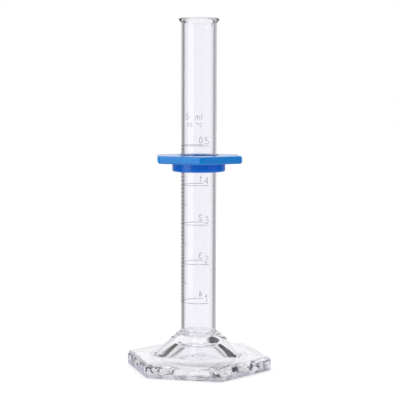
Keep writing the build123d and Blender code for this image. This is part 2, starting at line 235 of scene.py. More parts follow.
def mesh_object(name, points, faces, material):
    """A smooth mesh object at the origin; faces are turned to point outwards."""
    mesh = bpy.data.meshes.new(name)
    mesh.from_pydata(points.tolist(), [], faces)
    mesh.validate()
    mesh.polygons.foreach_set("use_smooth", [True] * len(mesh.polygons))
    mesh.materials.append(material)
    if signed_volume(mesh) < 0:
        mesh.flip_normals()
    piece = bpy.data.objects.new(name, mesh)
    bpy.context.scene.collection.objects.link(piece)
    return piece


def signed_volume(mesh):
    """Volume enclosed by a closed mesh, negative if its faces point inwards."""
    mesh.calc_loop_triangles()
    corners = np.empty(len(mesh.vertices) * 3)
    mesh.vertices.foreach_get("co", corners)
    corners = corners.reshape(-1, 3)
    triangles = np.empty(len(mesh.loop_triangles) * 3, dtype=int)
    mesh.loop_triangles.foreach_get("vertices", triangles)
    a, b, c = (corners[triangles.reshape(-1, 3)[:, i]] for i in range(3))
    return float(np.einsum("ij,ij->i", a, np.cross(b, c)).sum() / 6)


def skin_rings(rings, closed=False):
    """Faces between rings of equal length; an open stack gets a pole at each end."""
    count, around = len(rings), len(rings[0])
    points = np.concatenate(rings)
    faces = []
    for ring in range(count if closed else count - 1):
        low, high = ring * around, (ring + 1) % count * around
        for i in range(around):
            j = (i + 1) % around
            faces.append((low + i, low + j, high + j, high + i))
    if not closed:
        first, last = len(points), len(points) + 1
        points = np.vstack([points, rings[0].mean(axis=0), rings[-1].mean(axis=0)])
        top = (count - 1) * around
        for i in range(around):
            j = (i + 1) % around
            faces.append((first, j, i))
            faces.append((last, top + i, top + j))
    return points, faces


def arc(centre, radius, start, end, steps):
    """Points of an arc in the half plane of radius and height; angles in radians."""
    angles = np.linspace(start, end, steps + 1)
    return [(centre[0] + radius * cos(a), centre[1] + radius * sin(a)) for a in angles]


def line(start, end, steps):
    """Points of a straight run, with one close to each end to keep the shading of flats flat."""
    shares = np.unique(np.concatenate([np.linspace(0, 1, steps + 1), [0.02, 0.98]]))
    return [(start[0] + (end[0] - start[0]) * s, start[1] + (end[1] - start[1]) * s)
            for s in shares]


class Hexagon:
    """Places points round a rounded hexagon and round circles, as rings that can be joined."""

    def __init__(self, across_flats, corner, corner_steps, flat_steps, turn=0.0):
        self.apothem = across_flats / 2
        self.corner = corner
        self.centre = (self.apothem - corner) / cos(pi / 6)
        self.turn = turn
        self.corner_steps = corner_steps
        edge = atan2(corner / 2, self.centre + corner * cos(pi / 6))
        self.flat_angles = np.linspace(edge, pi / 3 - edge, flat_steps + 1)[1:-1]
        ring = self.ring(0.0, 0.0)
        self.angles = np.arctan2(ring[:, 1], ring[:, 0])

    def ring(self, inset, z):
        """The hexagon drawn in by an inset, at a height."""
        points = []
        for side in range(6):
            base = self.turn + side * pi / 3
            for a in np.linspace(-pi / 6, pi / 6, self.corner_steps + 1):
                reach = self.corner - inset
                points.append((self.centre * cos(base) + reach * cos(base + a),
                               self.centre * sin(base) + reach * sin(base + a), z))
            for a in self.flat_angles:
                reach = (self.apothem - inset) / cos(a - pi / 6)
                points.append((reach * cos(base + a), reach * sin(base + a), z))
        return np.array(points)

    def circle(self, radius, z):
        """A circle at a height, or rings of changing radius where an array is given."""
        return np.column_stack([radius * np.cos(self.angles), radius * np.sin(self.angles),
                                np.full(len(self.angles), z)])


def foot_profile(glass, bore_r):
    """Rings of the foot from the underside's middle to the tube, and where the dome's toe ends."""
    tube_r = bore_r + glass.tube_wall
    thickness = glass.foot_thickness
    neck_z = glass.neck_height
    neck_r = tube_r + glass.neck_land
    slope = glass.dome_slope
    toe_corner = neck_r + (neck_z - thickness) / tan(slope)
    toe_run = glass.dome_toe * tan(slope / 2)
    toe_end = toe_corner + toe_run
    toe_centre = (toe_end, thickness + glass.dome_toe)
    toe = arc(toe_centre, glass.dome_toe, -pi / 2, -pi / 2 - slope, 16)
    neck_run = glass.neck_round * tan(slope / 2)
    neck_centre = (neck_r - neck_run, neck_z - glass.neck_round)
    neck = arc(neck_centre, glass.neck_round, pi / 2 - slope, pi / 2, 6)
    weld_centre = (tube_r + glass.weld, neck_z + glass.weld)
    weld = arc(weld_centre, glass.weld, -pi / 2, -pi, 8)
    weld = [point for point in weld if point[0] < neck[-1][0]]
    return toe_end, toe + line(toe[-1], neck[0], 14)[1:-1] + neck + weld


def lip_profile(glass, bore_r):
    """Outside of the lip, its rounded edge and its inside, from the tube's wall to the bore."""
    wall = glass.tube_wall
    tube_r = bore_r + wall
    middle = glass.lip_bend + wall / 2
    lean_r, lean_z = sin(glass.lip_angle), cos(glass.lip_angle)
    start_z = TUBE_TOP - middle * lean_r - glass.lip_run * lean_z - wall / 2
    centre = (tube_r + glass.lip_bend, start_z)
    outside = arc(centre, glass.lip_bend, pi, pi - glass.lip_angle, 14)
    tip = (centre[0] - middle * lean_z + glass.lip_run * lean_r,
           start_z + middle * lean_r + glass.lip_run * lean_z)
    bead = arc(tip, wall / 2, -glass.lip_angle, pi - glass.lip_angle, 16)
    inside = arc(centre, glass.lip_bend + wall, pi - glass.lip_angle, pi, 14)
    return start_z, outside + bead[1:-1] + inside


def smooth_step(value):
    """Zero below 0, one above 1, and smooth between."""
    share = np.clip(value, 0.0, 1.0)
    return share * share * (3 - 2 * share)


def press_spout(points, glass, low_z):
    """Pushes the lip and the wall below it out and a little down where the spout is."""
    turn = np.arctan2(points[:, 1], points[:, 0]) - glass.spout_angle
    turn = (turn + pi) % (2 * pi) - pi
    radius = np.hypot(points[:, 0], points[:, 1])
    across = np.exp(-(turn * radius / glass.spout_width) ** 2)
    rise = smooth_step((points[:, 2] - low_z) / (TUBE_TOP - 0.6 * MM - low_z))
    push = across * rise
    scale = 1 + push * glass.spout_reach / np.maximum(radius, MM)
    points[:, 0] *= scale
    points[:, 1] *= scale
    points[:, 2] -= push * rise * glass.spout_drop
    return points


def ripple_foot(points, glass, top):
    """Unevenness of pressed glass: slight on the dome, deeper on the plate's sides."""
    noise.seed_set(NOISE_SEED)
    for point in points:
        if point[2] > top:
            continue
        swell = noise.noise_vector(Vector(point) / SWELL_SPAN, noise_basis="PERLIN_ORIGINAL")
        held = smooth_step(point[2] / (0.8 * MM)) * smooth_step((top - point[2]) / (3 * MM))
        dent = noise.noise_vector(Vector(point) / DENT_SPAN, noise_basis="PERLIN_ORIGINAL")
        side = smooth_step((np.hypot(point[0], point[1]) - SIDES_FROM) / MM)
        side *= smooth_step(point[2] / (1.2 * MM))
        side *= smooth_step((glass.foot_thickness - point[2]) / (1.2 * MM))
        point += np.array(swell) * glass.ripple * float(held)
        point[:2] += np.array(dent)[:2] * glass.dent * float(side)
    return points


def glass_places(tree, sums, glass):
    """Where a point of the glass body lies: its coordinates, and masks of the body's regions."""
    nodes, link = tree.nodes, tree.links.new
    place = nodes.new("ShaderNodeTexCoord").outputs["Object"]
    parts = nodes.new("ShaderNodeSeparateXYZ")
    link(place, parts.inputs[0])
    x, _, z = parts.outputs
    normal = nodes.new("ShaderNodeSeparateXYZ")
    link(nodes.new("ShaderNodeNewGeometry").outputs["True Normal"], normal.inputs[0])
    level = sums.maths("ABSOLUTE", normal.outputs["Z"])
    outward = nodes.new("ShaderNodeVectorMath")
    outward.operation = "LENGTH"
    link(place, outward.inputs[0])
    sides = sums.maths("MULTIPLY", sums.step(level, 0.6, 0.95, 1.0, 0.0),
                       sums.step(outward.outputs["Value"], SIDES_FROM - 1.5 * MM, SIDES_FROM))
    plate = sums.step(z, glass.foot_thickness - MM, glass.foot_thickness, 1.0, 0.0)
    return {
        "place": place, "x": x, "z": z,
        "foot": sums.step(z, FOOT_TOP - 2 * MM, FOOT_TOP, 1.0, 0.0),
        "sides": sums.maths("MULTIPLY", sides, plate),
        "lip": sums.step(z, TUBE_TOP - 2 * MM, TUBE_TOP - MM),
        "steep": sums.step(level, 0.66, 0.8, 1.0, 0.0),
        "rough_shaded_half": sums.step(x, *ROUGH_SHADED_LEFT, 1.0, 0.0),
    }


def tube_colour_with_edge_shade(sums, where, facing, glass):
    """The clear tint, with painted shade: darker where the tube's wall and the lip's ends are seen
    edge on.
    """
    # Painted shade: the wall seen edge on is painted darker, and the lip's edges near-black.
    rim = sums.choose(where["lip"], sums.step(facing, 0.52, 0.78),
                      sums.maths("MULTIPLY", where["steep"], sums.step(facing, 0.4, 0.62)))
    off_foot = sums.maths("SUBTRACT", 1.0, where["foot"])
    dark = sums.tint(where["lip"], (*glass.edge_shade_tint, 1), (*glass.shade_speck_tint, 1))
    return sums.tint(sums.maths("MULTIPLY", rim, off_foot), (*glass.tint, 1), dark)


def side_colour_with_shade(sums, where, facing, tint, glass):
    """The plate's pressed sides, with painted shade: grey patches and a grey lower edge where seen
    at a slant, and dark specks and blots.
    """
    # Painted shade: grey where the sides are seen at a slant, in patches and darker towards the
    # bottom.
    slanted = sums.step(facing, 0.15, 0.6)
    rough_shaded_half = where["rough_shaded_half"]
    low = sums.step(where["z"], 1.1 * MM, 2.3 * MM, 1.0, 0.0)
    low = sums.maths("MULTIPLY", low, sums.maths(
        "MAXIMUM", slanted, sums.maths("MULTIPLY_ADD", rough_shaded_half, 0.35, 0.3)))
    patches = sums.maths("MULTIPLY", sums.mottle(*SHADE_PATCHES), slanted)
    grey = sums.maths("MULTIPLY", where["sides"], sums.maths("MAXIMUM", patches, low))
    tint = sums.tint(grey, tint, (*glass.side_shade_tint, 1))
    # Painted shade: dark specks on the left part and dark blots off the middle, above the lower
    # edge.
    off_middle = sums.step(sums.maths("ABSOLUTE", where["x"]), 8 * MM, 11 * MM)
    specks = sums.maths("MAXIMUM", sums.maths("MULTIPLY", sums.mottle(*SHADE_SPECKS), rough_shaded_half),
                        sums.maths("MULTIPLY", sums.mottle(*SHADE_BLOTS), off_middle))
    above = sums.maths("MULTIPLY", where["sides"], sums.step(where["z"], 1.4 * MM, 2.2 * MM))
    return sums.tint(sums.maths("MULTIPLY", specks, above), tint, (*glass.shade_speck_tint, 1))


def glass_relief(tree, sums, where, glass):
    """Heights of the drawn streaks along the tube and of the pressed skin on the plate's sides."""
    nodes, link = tree.nodes, tree.links.new
    stretched = nodes.new("ShaderNodeMapping")
    stretched.inputs["Scale"].default_value = (900, 900, 12)
    link(where["place"], stretched.inputs["Vector"])
    streaks = nodes.new("ShaderNodeTexNoise")
    streaks.inputs["Scale"].default_value = 1.0
    link(stretched.outputs[0], streaks.inputs["Vector"])
    height = sums.maths("MULTIPLY_ADD", where["rough_shaded_half"], 0.7 * glass.mottle, 0.3 * glass.mottle)
    skin = sums.maths("MULTIPLY", sums.mottle(*SIDE_RELIEF), where["sides"])
    return sums.maths("ADD", sums.maths("MULTIPLY", streaks.outputs["Fac"], glass.streak),
                      sums.maths("MULTIPLY", skin, height))


def glass_material(glass):
    """Clear glass: a faintly streaked tube with painted shade on its edges, and mottled pressed
    sides below with painted shade.
    """
    material = bpy.data.materials.new("clear_glass")
    material.use_nodes = True
    tree = material.node_tree
    nodes, link = tree.nodes, tree.links.new
    sums = Sums(tree)
    shader = nodes["Principled BSDF"]
    shader.inputs["IOR"].default_value = glass.ior
    shader.inputs["Transmission Weight"].default_value = 1.0
    edge = nodes.new("ShaderNodeLayerWeight")
    edge.inputs["Blend"].default_value = 0.5
    facing = edge.outputs["Facing"]
    where = glass_places(tree, sums, glass)
    link(sums.maths("MULTIPLY", where["sides"], glass.pressed), shader.inputs["Roughness"])
    # The base colour carries painted shade on the tube's edges and on the plate's sides.
    tint = side_colour_with_shade(sums, where, facing, tube_colour_with_edge_shade(sums, where, facing, glass), glass)
    link(tint, shader.inputs["Base Color"])
    bump = nodes.new("ShaderNodeBump")
    bump.inputs["Distance"].default_value = 1.0
    link(glass_relief(tree, sums, where, glass), bump.inputs["Height"])
    link(bump.outputs[0], shader.inputs["Normal"])
    return material


class CYLINDER_OT_glass(bpy.types.Operator):
    """Make the fused glass body: tube, lip, spout, dome and hexagonal foot"""
    bl_idname = "cylinder.glass"
    bl_label = "Glass body"

    def execute(self, context):
        glass = context.scene.cylinder_glass
        hexagon = Hexagon(glass.foot_flats, glass.foot_corner, 12, 26)
        low, edge, thickness = glass.foot_lower, glass.foot_edge, glass.foot_thickness
        toe_end, dome = foot_profile(glass, BORE_R)
        rings = self.underside(glass, hexagon)
        for a in np.linspace(-pi / 2, 0, 9)[:-1]:
            rings.append(hexagon.ring(low - low * cos(a), low + low * sin(a)))
        for _, z in line((0, low), (0, thickness - edge), 6):
            rings.append(hexagon.ring(0.0, z))
        for a in np.linspace(0, pi / 2, 9)[1:]:
            rings.append(hexagon.ring(edge - edge * cos(a), thickness - edge + edge * sin(a)))
        rim, toe = rings[-1], hexagon.circle(toe_end, thickness)
        for share in (0.03, 0.15, 0.3, 0.5, 0.7, 0.85, 0.97):
            rings.append(rim + (toe - rim) * share)
        rings += [hexagon.circle(r, z) for r, z in dome]
        rings += self.tube(glass, hexagon)
        points, faces = skin_rings(rings)
        points = ripple_foot(points, glass, FOOT_TOP - MM)
        points = press_spout(points, glass, TUBE_TOP - glass.spout_depth)
        body = mesh_object("glass_body", points, faces, glass_material(glass))
        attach(body, "cylinder")
        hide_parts("graduated_tube", "hexagonal_foot")
        return {"FINISHED"}

    @staticmethod
    def underside(glass, hexagon):
        """Rings of the shallow hollow and of the flat ring round it."""
        slope = atan2(glass.hollow_depth, glass.hollow_radius - glass.hollow_top)
        run = glass.hollow_round * tan(slope / 2)
        corner = (glass.hollow_top - run, glass.hollow_depth - glass.hollow_round)
        top = arc(corner, glass.hollow_round, pi / 2, pi / 2 - slope, 10)
        lip = glass.hollow_flare
        foot_centre = (glass.hollow_radius + lip * tan(slope / 2), lip)
        foot = arc(foot_centre, lip, 1.5 * pi - slope, 1.5 * pi, 6)
        profile = line((0.02 * MM, glass.hollow_depth), top[0], 6)[:-1] + top
        profile += line(top[-1], foot[0], 12)[1:-1] + foot
        rings = [hexagon.circle(r, z) for r, z in profile]
        start, end = rings[-1], hexagon.ring(glass.foot_lower, 0.0)
        for share in (0.03, 0.3, 0.65, 0.97):
            rings.append(start + (end - start) * share)
        return rings

    @staticmethod
    def tube(glass, hexagon):
        """Rings up the outside of the tube, over the lip and down to the round bottom."""
        tube_r = BORE_R + glass.tube_wall
        lip_start, lip = lip_profile(glass, BORE_R)
        spout_low = TUBE_TOP - glass.spout_depth
        bottom_z = glass.bore_floor + glass.floor_round
        heights = np.concatenate([np.linspace(glass.neck_height + 2 * glass.weld, spout_low, 12),
                                  np.linspace(spout_low, lip_start, 8)[1:-1]])
        rings = [hexagon.circle(tube_r, z) for z in heights]
        rings += [hexagon.circle(r, z) for r, z in lip]
        heights = np.concatenate([np.linspace(lip_start, spout_low, 8)[1:],
                                  np.linspace(spout_low, bottom_z, 12)[1:-1]])
        rings += [hexagon.circle(BORE_R, z) for z in heights]
        turn = arc((BORE_R - glass.floor_round, bottom_z), glass.floor_round, 0, -pi / 2, 20)
        flat = line(turn[-1], (0.02 * MM, glass.bore_floor), 4)[1:]
        rings += [hexagon.circle(r, z) for r, z in turn + flat]
        return rings


def plastic_material(guard):
    """Moulded blue plastic: a deeper blue on the collar below the plate, partly painted shade;
    finely grained and with a scuffed gloss.
    """
    material = bpy.data.materials.new("blue_plastic")
    material.use_nodes = True
    tree = material.node_tree
    nodes, link = tree.nodes, tree.links.new
    sums = Sums(tree)
    shader = nodes["Principled BSDF"]
    shader.inputs["Specular IOR Level"].default_value = 0.4
    height = nodes.new("ShaderNodeSeparateXYZ")
    link(nodes.new("ShaderNodeTexCoord").outputs["Object"], height.inputs[0])
    shelf = GUARD_HIGH.z - guard.plate
    # Partly painted shade: the collar below the plate is given a darker, deeper blue.
    thick_and_shaded = sums.step(height.outputs["Z"], shelf - 0.3 * MM, shelf + 0.3 * MM, 1.0, 0.0)
    tint = sums.tint(thick_and_shaded, (*guard.tint, 1), (*guard.deep_shaded_tint, 1))
    cloud = sums.mottle(*PLASTIC_CLOUD)
    pale = tuple(min(1.0, 1.12 * part + 0.004) for part in guard.tint)
    tint = sums.tint(sums.maths("MULTIPLY", cloud, 0.35), tint, (*pale, 1))
    link(tint, shader.inputs["Base Color"])
    scuffs = sums.mottle(*PLASTIC_SCUFFS)
    link(sums.maths("MULTIPLY_ADD", scuffs, 0.12, guard.roughness), shader.inputs["Roughness"])
    bump = nodes.new("ShaderNodeBump")
    bump.inputs["Distance"].default_value = guard.grain
    link(sums.mottle(*PLASTIC_GRAIN), bump.inputs["Height"])
    link(bump.outputs[0], shader.inputs["Normal"])
    return material


class CYLINDER_OT_guard(bpy.types.Operator):
    """Make the hexagonal guard with its collar and gripping ribs"""
    bl_idname = "cylinder.guard"
    bl_label = "Guard"

    def execute(self, context):
        guard = context.scene.cylinder_guard
        hexagon = Hexagon(guard.across_flats, guard.corner, 8, 56, guard.turn)
        low, high = GUARD_LOW.z, GUARD_HIGH.z
        shelf = high - guard.plate
        edge, collar_r, bore = guard.edge, guard.collar / 2, guard.bore
        rings = []
        for a in np.linspace(-pi / 2, 0, 6):
            rings.append(hexagon.ring(edge - edge * cos(a), shelf + edge + edge * sin(a)))
        for a in np.linspace(0, pi / 2, 6):
            rings.append(hexagon.ring(edge - edge * cos(a), high - edge + edge * sin(a)))
        rim, mouth = rings[-1], hexagon.circle(bore + edge, high)
        rings += [rim + (mouth - rim) * share for share in (0.02, 0.5, 0.98)]
        rings += [hexagon.circle(r, z) for r, z in
                  arc((bore + edge, high - edge), edge, pi / 2, pi, 5)]
        rib = self.rib_radii(guard, hexagon)
        rings += [hexagon.circle(rib, z)
                  for z in np.linspace(high - 1.3 * edge, low + 1.3 * edge, 8)]
        rings += [hexagon.circle(r, z) for r, z in
                  arc((bore + edge, low + edge), edge, pi, 1.5 * pi, 5)]
        rings += [hexagon.circle(r, low) for r in np.linspace(bore + 1.2 * edge,
                                                              collar_r - 1.2 * edge, 3)]
        rings += [hexagon.circle(r, z) for r, z in
                  arc((collar_r - edge, low + edge), edge, -pi / 2, 0, 5)]
        fillet = 0.3 * MM
        rings += [hexagon.circle(collar_r, z) for z in (low + 1.2 * edge, shelf - 1.2 * fillet)]
        rings += [hexagon.circle(r, z) for r, z in
                  arc((collar_r + fillet, shelf - fillet), fillet, pi, pi / 2, 5)]
        flat, rim = rings[-1], rings[0]
        rings += [flat + (rim - flat) * share for share in (0.03, 0.5, 0.97)]
        points, faces = skin_rings(rings, closed=True)
        piece = mesh_object("guard_moulding", points, faces, plastic_material(guard))
        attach(piece, "guard")
        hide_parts("bumper_guard")
        return {"FINISHED"}

    @staticmethod
    def rib_radii(guard, hexagon):
        """Radius of the bore at each point round it, smaller on the six ribs."""
        local = (hexagon.angles - guard.turn) % (pi / 3) - pi / 6
        half = asin(guard.rib_width / 2 / guard.bore)
        inside = smooth_step((half - np.abs(local)) / radians(1.2) + 0.5)
        return guard.bore - guard.rib_depth * inside


def enamel_material(scale):
    """Fired enamel: grey, with pinholes and thin places where the glass shows as paler specks."""
    material = bpy.data.materials.new("grey_enamel")
    material.use_nodes = True
    tree = material.node_tree
    nodes, link = tree.nodes, tree.links.new
    sums = Sums(tree)
    shader = nodes["Principled BSDF"]
    thin = sums.mottle(*ENAMEL_THIN)
    link(sums.tint(thin, (*scale.tint, 1), (*scale.thin_tint, 1)), shader.inputs["Base Color"])
    link(sums.maths("MULTIPLY_ADD", thin, -0.5 * scale.cover, scale.cover), shader.inputs["Alpha"])
    link(sums.maths("MULTIPLY_ADD", thin, 0.2, 0.35), shader.inputs["Roughness"])
    bump = nodes.new("ShaderNodeBump")
    bump.inputs["Distance"].default_value = 0.2 * scale.thickness
    link(sums.mottle(*ENAMEL_GRAIN), bump.inputs["Height"])
    link(bump.outputs[0], shader.inputs["Normal"])
    return material


def marks_tree():
    """Geometry nodes: a column of curved enamel marks, leaving out one in every given number."""
    tree = bpy.data.node_groups.new("enamel_marks", "GeometryNodeTree")
    face = tree.interface
    face.new_socket("Geometry", in_out="INPUT", socket_type="NodeSocketGeometry")
    for name in ("Radius", "First Height", "Spacing", "Middle", "Length", "Line Width",
                 "Thickness"):
        face.new_socket(name, in_out="INPUT", socket_type="NodeSocketFloat")
    for name in ("Count", "Skip Every"):
        face.new_socket(name, in_out="INPUT", socket_type="NodeSocketInt")
    face.new_socket("Material", in_out="INPUT", socket_type="NodeSocketMaterial")
    face.new_socket("Geometry", in_out="OUTPUT", socket_type="NodeSocketGeometry")
    add, link = tree.nodes.new, tree.links.new
    given, result = add("NodeGroupInput"), add("NodeGroupOutput")
    maths = Sums(tree).maths
    size = given.outputs
    middle_r = maths("ADD", size["Radius"], maths("MULTIPLY", size["Thickness"], 0.5))
    span = maths("DIVIDE", size["Length"], size["Radius"])
    path = add("GeometryNodeCurveArc")
    path.inputs["Resolution"].default_value = 48
    link(middle_r, path.inputs["Radius"])
    start_angle = maths("SUBTRACT", size["Middle"], maths("MULTIPLY", span, 0.5))
    link(start_angle, path.inputs["Start Angle"])
    link(span, path.inputs["Sweep Angle"])
    section = add("GeometryNodeCurvePrimitiveQuadrilateral")
    link(size["Thickness"], section.inputs["Width"])
    link(size["Line Width"], section.inputs["Height"])
    mark = add("GeometryNodeCurveToMesh")
    mark.inputs["Fill Caps"].default_value = True
    link(path.outputs["Curve"], mark.inputs["Curve"])
    link(section.outputs["Curve"], mark.inputs["Profile Curve"])
    start, step = add("ShaderNodeCombineXYZ"), add("ShaderNodeCombineXYZ")
    link(size["First Height"], start.inputs["Z"])
    link(size["Spacing"], step.inputs["Z"])
    column = add("GeometryNodeMeshLine")
    link(size["Count"], column.inputs["Count"])
    link(start.outputs[0], column.inputs["Start Location"])
    link(step.outputs[0], column.inputs["Offset"])
    index = add("GeometryNodeInputIndex")
    kept = add("FunctionNodeCompare")
    kept.data_type = "INT"
    kept.operation = "NOT_EQUAL"
    link(maths("MODULO", maths("ADD", index.outputs[0], 1), size["Skip Every"]), kept.inputs["A"])
    placed = add("GeometryNodeInstanceOnPoints")
    link(column.outputs["Mesh"], placed.inputs["Points"])
    link(mark.outputs["Mesh"], placed.inputs["Instance"])
    link(kept.outputs[0], placed.inputs["Selection"])
    real = add("GeometryNodeRealizeInstances")
    link(placed.outputs[0], real.inputs[0])
    painted = add("GeometryNodeSetMaterial")
    link(real.outputs[0], painted.inputs["Geometry"])
    link(size["Material"], painted.inputs["Material"])
    link(painted.outputs[0], result.inputs[0])
    return tree


def grown(name, tree, values):
    """The mesh that a node tree makes with the given inputs, as a plain object."""
    seed = bpy.data.objects.new(name + "_seed", bpy.data.meshes.new(name + "_seed"))
    bpy.context.scene.collection.objects.link(seed)
    modifier = seed.modifiers.new("marks", "NODES")
    modifier.node_group = tree
    for socket in tree.interface.items_tree:
        if socket.item_type == "SOCKET" and socket.in_out == "INPUT" and socket.name in values:
            modifier[socket.identifier] = values[socket.name]
    view = bpy.context.evaluated_depsgraph_get()
    mesh = bpy.data.meshes.new_from_object(seed.evaluated_get(view))
    bpy.data.objects.remove(seed)
    if signed_volume(mesh) < 0:
        mesh.flip_normals()
    mesh.name = name
    piece = bpy.data.objects.new(name, mesh)
    bpy.context.scene.collection.objects.link(piece)
    return piece


class CYLINDER_OT_scale(bpy.types.Operator):
    """Make the enamel lines and finish the numerals"""
    bl_idname = "cylinder.scale"
    bl_label = "Enamel scale"

    def execute(self, context):
        scale = context.scene.cylinder_scale
        glass = context.scene.cylinder_glass
        enamel = enamel_material(scale)
        first = SCALE_LOW.z + scale.line / 2
        spacing = (SCALE_HIGH.z - SCALE_LOW.z - scale.line) / 4
        groups = {
            "ml_lines": (first, spacing, 5, scale.whole, 6),
            "half_ml_lines": (first + spacing / 2, spacing, 4, scale.half, 5),
            "tenth_ml_lines": (first + spacing / 10, spacing / 10, 39, scale.tenth, 5),
        }
        tree = marks_tree()
        for node, (start, step, count, reach, skip) in groups.items():
            piece = grown("enamel_" + node, tree, {
                "Radius": BORE_R + glass.tube_wall, "First Height": start, "Spacing": step,
                "Middle": scale.middle, "Length": reach, "Line Width": scale.line,
                "Thickness": scale.thickness, "Count": count, "Skip Every": skip,
                "Material": enamel})
            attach(piece, "cylinder")
            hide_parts(node)
        for node in ("rising_numerals", "falling_numerals", "capacity_mark"):
            for slot in frame["nodes"][node].material_slots:
                slot.material = enamel
        return {"FINISHED"}


def add_camera(studio):
    """The photograph's camera."""
    camera = bpy.data.cameras.new("camera")
    camera.lens = studio.lens
    camera.sensor_width = 36.0
    holder = bpy.data.objects.new("camera", camera)
    bpy.context.scene.collection.objects.link(holder)
    yaw, pitch = studio.yaw, studio.pitch
    forward = Vector((sin(yaw) * cos(pitch), cos(yaw) * cos(pitch), -sin(pitch)))
    right = Vector((cos(yaw), -sin(yaw), 0))
    up = right.cross(forward)
    axes = Matrix((right, up, -forward)).transposed() @ Matrix.Rotation(studio.roll, 3, "Z")
    turn = Matrix.Rotation(studio.azimuth, 4, "Z")
    place = Matrix.Translation((0, -studio.distance, studio.height))
    holder.matrix_world = turn @ place @ axes.to_4x4()
    camera.clip_start = 0.01
    bpy.context.scene.camera = holder


def add_floor(studio):
    """Pale floor that keeps the shadow and reads as white ground."""
    reach = 3.0
    mesh = bpy.data.meshes.new("floor")
    corners = [(-reach, -reach), (reach, -reach), (reach, reach), (-reach, reach)]
    mesh.from_pydata([(x, y, -0.02 * MM) for x, y in corners], [], [(0, 1, 2, 3)])
    floor = bpy.data.objects.new("floor", mesh)
    bpy.context.scene.collection.objects.link(floor)
    material = bpy.data.materials.new("floor")
    material.use_nodes = True
    nodes, link = material.node_tree.nodes, material.node_tree.links.new
    shader = nodes["Principled BSDF"]
    shader.inputs["Base Color"].default_value = (*studio.floor_tint, 1)
    shader.inputs["Roughness"].default_value = 0.9
    shader.inputs["Emission Color"].default_value = (1, 1, 1, 1)
    rays = nodes.new("ShaderNodeLightPath").outputs
    sums = Sums(material.node_tree)
    glow = sums.choose(rays["Is Camera Ray"], 0.0, FLOOR_GLOW)
    link(glow, shader.inputs["Emission Strength"])
    place = nodes.new("ShaderNodeTexCoord")
    side, z = seen_from_photo(material.node_tree, place.outputs["Object"], studio)
    away = nodes.new("ShaderNodeVectorMath")
    away.operation = "LENGTH"
    link(place.outputs["Object"], away.inputs[0])
    depth = sums.maths("MULTIPLY", away.outputs["Value"], sums.maths("COSINE", side))
    shaded = sums.step(depth, *FLOOR_SHADE)
    under = sums.choose(sums.step(away.outputs["Value"], 22 * MM, 34 * MM), shaded, 1.0)
    flags = dark_flags(sums, side, z)
    through = sums.choose(sums.step(away.outputs["Value"], 30 * MM, 70 * MM), 1.0, flags)
    gloss = sums.choose(sums.step(away.outputs["Value"], 60 * MM, 250 * MM), FLOOR_SHINE,
                        gloss_surround(sums, side, flags))
    through = sums.maths("MULTIPLY", under, through)
    through = sums.choose(rays["Is Transmission Ray"], gloss, through)
    white = nodes.new("ShaderNodeEmission")
    link(through, white.inputs["Strength"])
    mixed = nodes.new("ShaderNodeMixShader")
    link(sums.maths("MAXIMUM", rays["Is Transmission Ray"], rays["Is Glossy Ray"]), mixed.inputs[0])
    link(shader.outputs[0], mixed.inputs[1])
    link(white.outputs[0], mixed.inputs[2])
    link(mixed.outputs[0], nodes["Material Output"].inputs["Surface"])
    mesh.materials.append(material)


class Sums:
    """Adds small sums, mixes and masks to a node tree."""

    def __init__(self, tree):
        self.nodes, self.link = tree.nodes, tree.links.new

    def fill(self, sockets, values):
        """Gives each socket its value, or a link where the value is another node's output."""
        for socket, value in zip(sockets, values):
            if isinstance(value, (int, float, tuple)):
                socket.default_value = value
            else:
                self.link(value, socket)

    def maths(self, operation, *values):
        """The result of one sum, of given values or sockets."""
        node = self.nodes.new("ShaderNodeMath")
        node.operation = operation
        self.fill(node.inputs, values)
        return node.outputs[0]

    def choose(self, test, no, yes):
        """One of two levels, by a test that is 0 or 1."""
        node = self.nodes.new("ShaderNodeMix")
        self.fill([node.inputs[i] for i in (0, 2, 3)], (test, no, yes))
        return node.outputs[0]

    def tint(self, share, plain, other):
        """A colour between two colours, which are given values or sockets."""
        node = self.nodes.new("ShaderNodeMix")
        node.data_type = "RGBA"
        self.fill([node.inputs[i] for i in (0, 6, 7)], (share, plain, other))
        return node.outputs[2]

    def mottle(self, scale, low, high):
        """A mask from the shared mottle group."""
        node = self.nodes.new("ShaderNodeGroup")
        node.node_tree = bpy.data.node_groups.get("mottle") or mottle_group()
        for name, value in (("Scale", scale), ("Low", low), ("High", high)):
            node.inputs[name].default_value = value
        return node.outputs["Mask"]

    def window(self, value, low, high, soft):
        """One between two values, with soft ends, and zero outside."""
        return self.maths("MULTIPLY", self.step(value, low - soft, low + soft),
                          self.step(value, high - soft, high + soft, 1.0, 0.0))

    def by_height(self, z, rises, values):
        """A value that changes at each rise, which is a pair of elevations in degrees."""
        result = values[0]
        for (low, high), before, after in zip(rises, values, values[1:]):
            change = self.step(z, sin(radians(low)), sin(radians(high)))
            result = self.maths("MULTIPLY_ADD", change, after - before, result)
        return result

    def step(self, value, low, high, to_low=0.0, to_high=1.0):
        """A smooth step of a value, from one level to another."""
        node = self.nodes.new("ShaderNodeMapRange")
        node.interpolation_type = "SMOOTHSTEP"
        for name, given in (("From Min", low), ("From Max", high),
                            ("To Min", to_low), ("To Max", to_high)):
            node.inputs[name].default_value = given
        self.link(value, node.inputs["Value"])
        return node.outputs[0]


